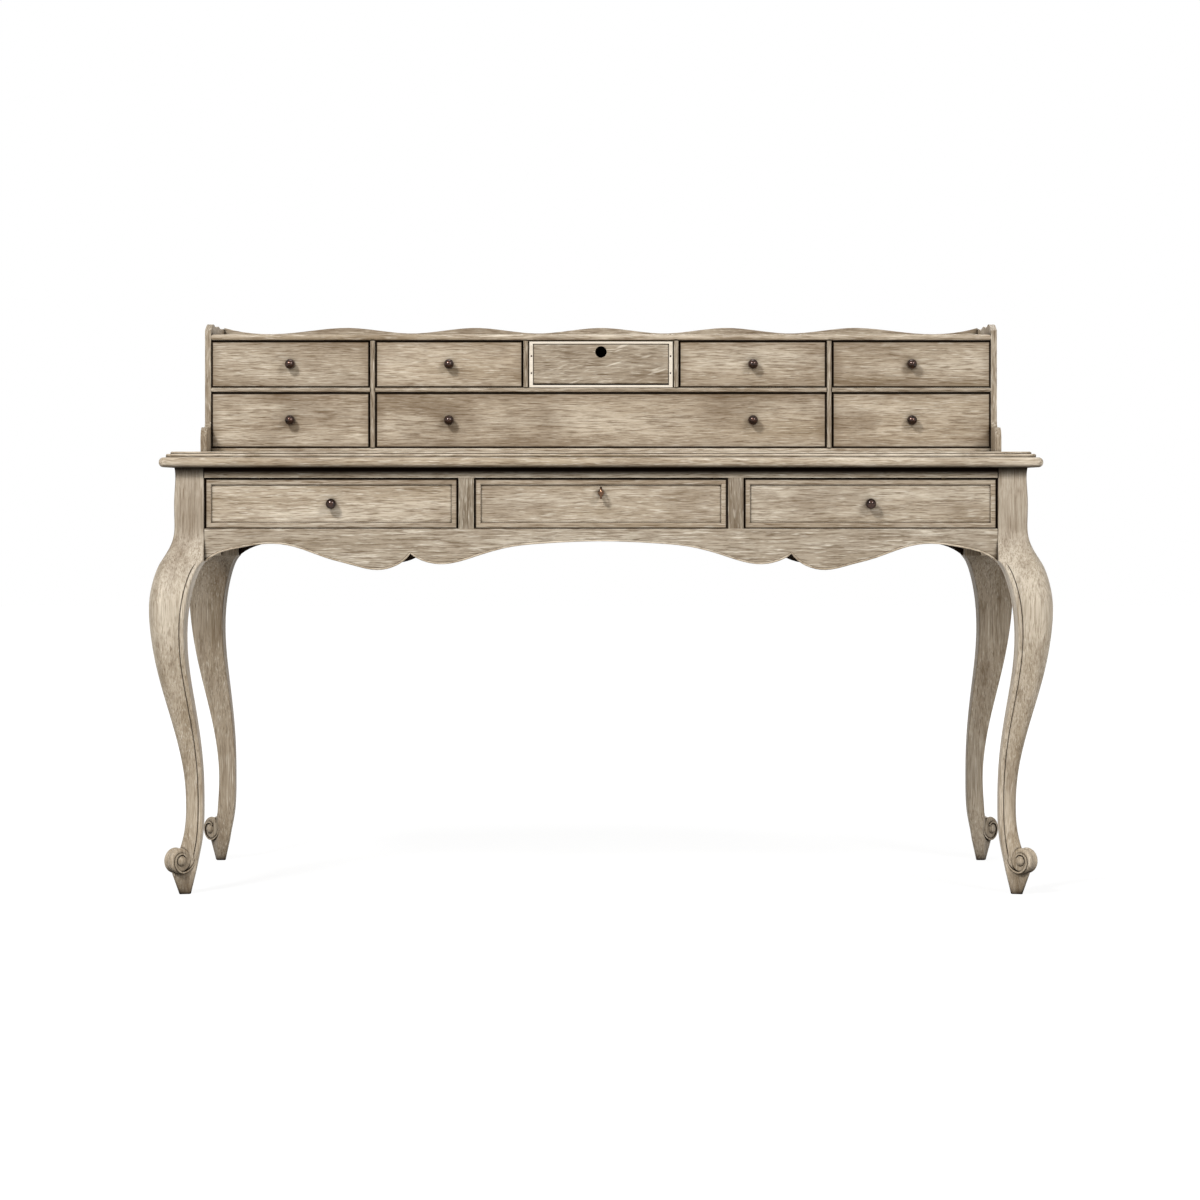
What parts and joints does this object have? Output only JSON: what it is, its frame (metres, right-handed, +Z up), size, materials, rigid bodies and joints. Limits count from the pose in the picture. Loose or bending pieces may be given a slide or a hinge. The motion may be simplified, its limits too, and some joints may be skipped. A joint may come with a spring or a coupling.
{
  "type": "writing desk",
  "caption": "Oak writing desk on cabriole legs with scroll toes, a scalloped apron with drawers, and a low drawer superstructure with a drop flap and a wavy gallery.",
  "frame": {"origin": "on the floor under the middle of the desk", "axes": "+X to the sitter's right, -Y towards the sitter, +Z up"},
  "size_m": [1.5502, 0.6762, 1.003],
  "materials": {
    "oak": "limed, satin wax",
    "drawer_lining": "plain planed",
    "flap_lipping": "satin",
    "knob_bronze": "dark bronzed, polished",
    "key_brass": "aged",
    "lock_steel": "plain"
  },
  "bodies": {
    "desk": {"table_top": "oak", "leg_front_left": "oak", "leg_front_right": "oak", "leg_rear_left": "oak", "leg_rear_right": "oak", "front_top_rail": "oak", "front_apron": "oak", "rear_apron": "oak", "side_apron_left": "oak", "side_apron_right": "oak", "drawer_stiles": "oak", "drawer_runners": "drawer_lining", "drawer_kickers": "drawer_lining", "corner_blocks": "drawer_lining", "gradin_side_left": "oak", "gradin_side_right": "oak", "gradin_bottom": "oak", "gradin_top": "oak", "gradin_back": "oak", "gallery_rail": "oak", "gradin_partitions": "oak", "gradin_shelves": "oak", "flap_frame": "flap_lipping"},
    "apron_drawer_left": {"apron_drawer_front_left": "oak", "apron_drawer_box_left": "drawer_lining", "apron_drawer_moulding_left": "oak", "apron_knob_left": "knob_bronze"},
    "apron_drawer_centre": {"apron_drawer_front_centre": "oak", "apron_drawer_box_centre": "drawer_lining", "apron_drawer_moulding_centre": "oak", "lock_case": "lock_steel"},
    "apron_drawer_right": {"apron_drawer_front_right": "oak", "apron_drawer_box_right": "drawer_lining", "apron_drawer_moulding_right": "oak", "apron_knob_right": "knob_bronze"},
    "gradin_drawer_outer_left_lower": {"gradin_drawer_front_outer_left_lower": "oak", "gradin_drawer_box_outer_left_lower": "drawer_lining", "gradin_knob_outer_left_lower": "knob_bronze"},
    "gradin_drawer_outer_right_lower": {"gradin_drawer_front_outer_right_lower": "oak", "gradin_drawer_box_outer_right_lower": "drawer_lining", "gradin_knob_outer_right_lower": "knob_bronze"},
    "gradin_drawer_outer_left_upper": {"gradin_drawer_front_outer_left_upper": "oak", "gradin_drawer_box_outer_left_upper": "drawer_lining", "gradin_knob_outer_left_upper": "knob_bronze"},
    "gradin_drawer_outer_right_upper": {"gradin_drawer_front_outer_right_upper": "oak", "gradin_drawer_box_outer_right_upper": "drawer_lining", "gradin_knob_outer_right_upper": "knob_bronze"},
    "gradin_drawer_inner_left": {"gradin_drawer_front_inner_left": "oak", "gradin_drawer_box_inner_left": "drawer_lining", "gradin_knob_inner_left": "knob_bronze"},
    "gradin_drawer_inner_right": {"gradin_drawer_front_inner_right": "oak", "gradin_drawer_box_inner_right": "drawer_lining", "gradin_knob_inner_right": "knob_bronze"},
    "gradin_drawer_wide": {"gradin_drawer_front_wide": "oak", "gradin_drawer_box_wide": "drawer_lining", "gradin_knob_wide": "knob_bronze"},
    "flap": {"flap_panel": "oak", "flap_pivots": "lock_steel"},
    "key": {"key": "key_brass"},
    "lock_bolt": {"lock_bolt": "lock_steel"}
  },
  "joints": [
    {"name": "apron_drawer_left_slide", "type": "slide", "parent": "desk", "child": "apron_drawer_left", "axis": [0, -1, 0], "range_m": [0, 0.36]},
    {"name": "apron_drawer_centre_slide", "type": "slide", "parent": "desk", "child": "apron_drawer_centre", "axis": [0, -1, 0], "range_m": [0, 0.36]},
    {"name": "apron_drawer_right_slide", "type": "slide", "parent": "desk", "child": "apron_drawer_right", "axis": [0, -1, 0], "range_m": [0, 0.36]},
    {"name": "gradin_drawer_outer_left_lower_slide", "type": "slide", "parent": "desk", "child": "gradin_drawer_outer_left_lower", "axis": [0, -1, 0], "range_m": [0, 0.16]},
    {"name": "gradin_drawer_outer_right_lower_slide", "type": "slide", "parent": "desk", "child": "gradin_drawer_outer_right_lower", "axis": [0, -1, 0], "range_m": [0, 0.16]},
    {"name": "gradin_drawer_outer_left_upper_slide", "type": "slide", "parent": "desk", "child": "gradin_drawer_outer_left_upper", "axis": [0, -1, 0], "range_m": [0, 0.16]},
    {"name": "gradin_drawer_outer_right_upper_slide", "type": "slide", "parent": "desk", "child": "gradin_drawer_outer_right_upper", "axis": [0, -1, 0], "range_m": [0, 0.16]},
    {"name": "gradin_drawer_inner_left_slide", "type": "slide", "parent": "desk", "child": "gradin_drawer_inner_left", "axis": [0, -1, 0], "range_m": [0, 0.16]},
    {"name": "gradin_drawer_inner_right_slide", "type": "slide", "parent": "desk", "child": "gradin_drawer_inner_right", "axis": [0, -1, 0], "range_m": [0, 0.16]},
    {"name": "gradin_drawer_wide_slide", "type": "slide", "parent": "desk", "child": "gradin_drawer_wide", "axis": [0, -1, 0], "range_m": [0, 0.16]},
    {"name": "flap_drop", "type": "hinge", "parent": "desk", "child": "flap", "pos_m": [0, 0.078, 0.8932], "axis": [1, 0, 0], "range_deg": [0, 90]},
    {"name": "key_turn", "type": "hinge", "parent": "apron_drawer_centre", "child": "key", "pos_m": [0, -0.28, 0.691], "axis": [0, 1, 0], "range_deg": [0, 180]},
    {"name": "bolt_lift", "type": "slide", "parent": "apron_drawer_centre", "child": "lock_bolt", "axis": [0, 0, 1], "range_m": [0, 0.007]}
  ],
  "couplings": [
    {"joint": "key_turn", "follows": "bolt_lift", "rad_per_m": 448.7}
  ]
}
